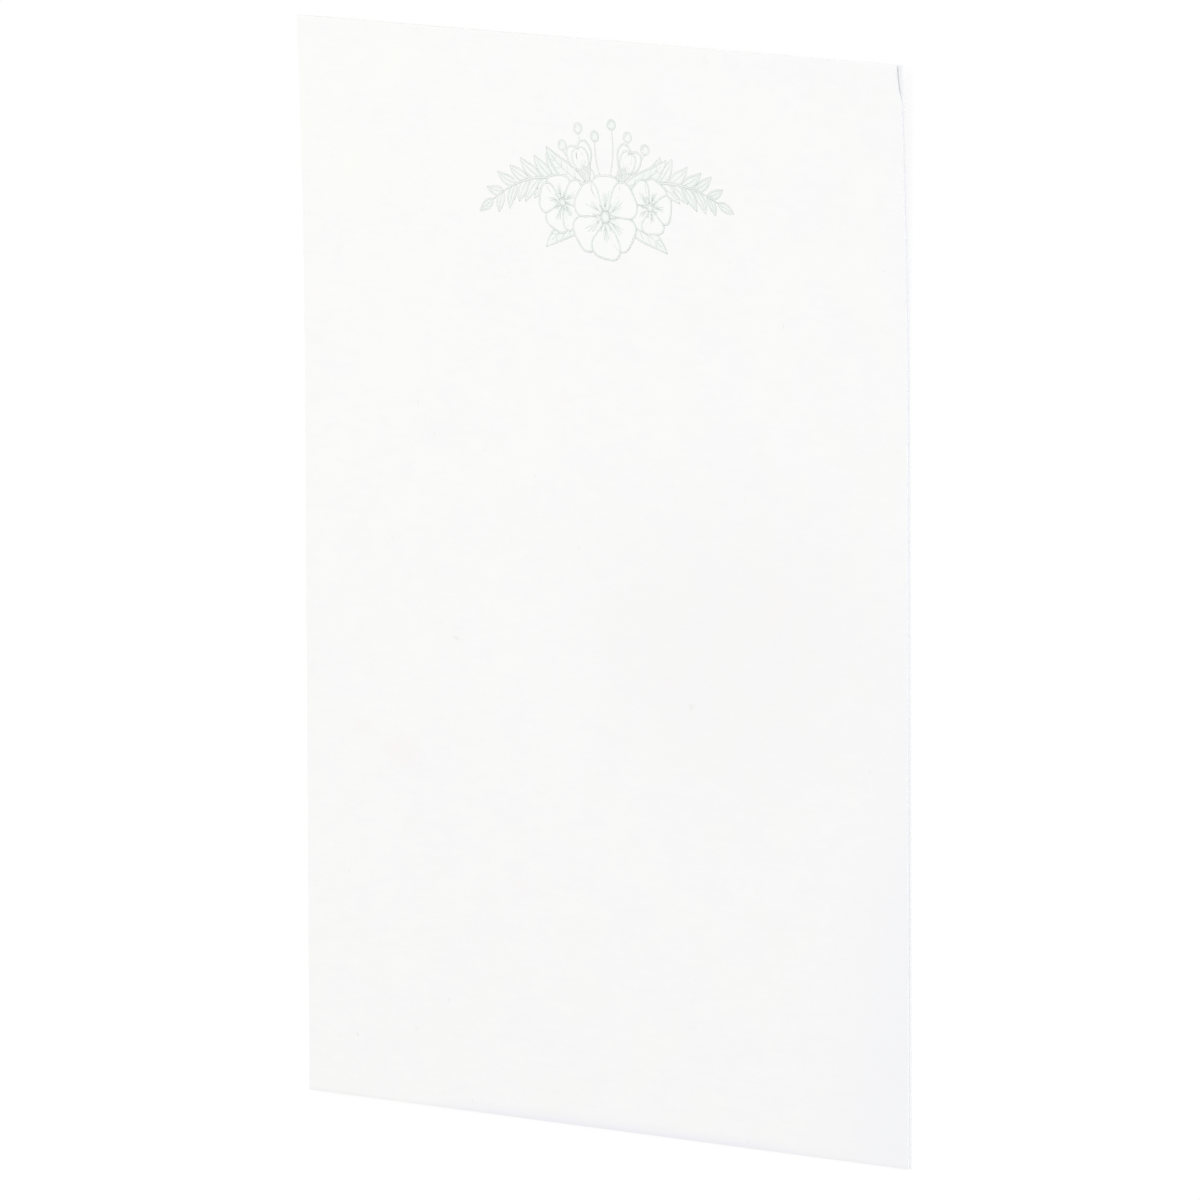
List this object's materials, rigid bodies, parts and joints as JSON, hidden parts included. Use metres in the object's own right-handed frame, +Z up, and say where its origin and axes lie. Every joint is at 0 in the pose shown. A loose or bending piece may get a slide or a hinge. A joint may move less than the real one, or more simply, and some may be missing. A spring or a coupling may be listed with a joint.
{
  "type": "greeting card",
  "caption": "Portrait greeting card folded once along its left edge, lying closed, with a pale green line-drawn flower spray near the top of its front.",
  "frame": {"origin": "under the middle of the card, on the surface that it lies on", "axes": "+X from the fold to the free edges, +Y to the top of the card, +Z up out of the printed front"},
  "size_m": [0.127, 0.1778, 0.003],
  "materials": {
    "card_stock": "matte, uncoated heavy paper with a fine felt tooth",
    "print_ink": "matte, thin pale green printed line and wash"
  },
  "bodies": {
    "root": {"card": "card_stock"}
  },
  "joints": []
}
